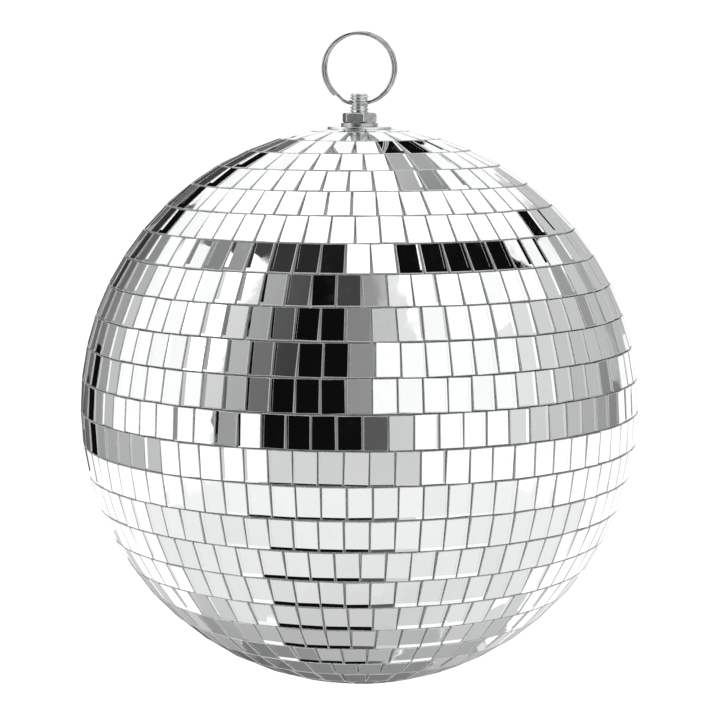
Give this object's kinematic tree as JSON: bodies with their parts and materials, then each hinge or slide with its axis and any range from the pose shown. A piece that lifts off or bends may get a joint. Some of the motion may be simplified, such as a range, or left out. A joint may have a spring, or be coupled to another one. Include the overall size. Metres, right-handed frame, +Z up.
{
  "type": "mirror ball",
  "caption": "Hollow ball covered in level rows of flat mirror tiles, hung from a split ring through a threaded stud, with nuts, washers and a disc at the top pole.",
  "frame": {"origin": "inside top of the split ring, where a hook bears, on the ball's vertical axis", "axes": "+Z up along the stud, +X along the stud's cross hole, +Y from the front of the ball to its back"},
  "size_m": [0.18, 0.18, 0.2102],
  "materials": {
    "mirror_glass": "flat silvered glass, polished",
    "ring_steel": "nickel-plated spring wire, polished, darkened with age",
    "zinc_steel": "bright zinc plate",
    "disc_metal": "turned, satin",
    "core_plastic": "moulded, matt",
    "backing_cloth": "woven cloth, pale grey"
  },
  "bodies": {
    "ring": {"split_ring": "ring_steel"},
    "ball": {"bottom_disc": "mirror_glass", "fender_washer": "zinc_steel", "flat_washer": "zinc_steel", "inner_nut": "zinc_steel", "lower_backing_strips": "backing_cloth", "lower_shell": "core_plastic", "lower_tiles_row_01": "mirror_glass", "lower_tiles_row_02": "mirror_glass", "lower_tiles_row_03": "mirror_glass", "lower_tiles_row_04": "mirror_glass", "lower_tiles_row_05": "mirror_glass", "lower_tiles_row_06": "mirror_glass", "lower_tiles_row_07": "mirror_glass", "lower_tiles_row_08": "mirror_glass", "lower_tiles_row_09": "mirror_glass", "lower_tiles_row_10": "mirror_glass", "lower_tiles_row_11": "mirror_glass", "lower_tiles_row_12": "mirror_glass", "lower_tiles_row_13": "mirror_glass", "outer_nut": "zinc_steel", "spring_washer": "zinc_steel", "threaded_stud": "zinc_steel", "top_disc": "disc_metal", "upper_backing_strips": "backing_cloth", "upper_shell": "core_plastic", "upper_tiles_row_01": "mirror_glass", "upper_tiles_row_02": "mirror_glass", "upper_tiles_row_03": "mirror_glass", "upper_tiles_row_04": "mirror_glass", "upper_tiles_row_05": "mirror_glass", "upper_tiles_row_06": "mirror_glass", "upper_tiles_row_07": "mirror_glass", "upper_tiles_row_08": "mirror_glass", "upper_tiles_row_09": "mirror_glass", "upper_tiles_row_10": "mirror_glass", "upper_tiles_row_11": "mirror_glass", "upper_tiles_row_12": "mirror_glass", "upper_tiles_row_13": "mirror_glass"}
  },
  "joints": [
    {"name": "ball_swing", "type": "hinge", "parent": "ring", "child": "ball", "pos_m": [0, 0, -0.02157], "axis": [1, 0, 0], "range_deg": [-108, 108]}
  ]
}
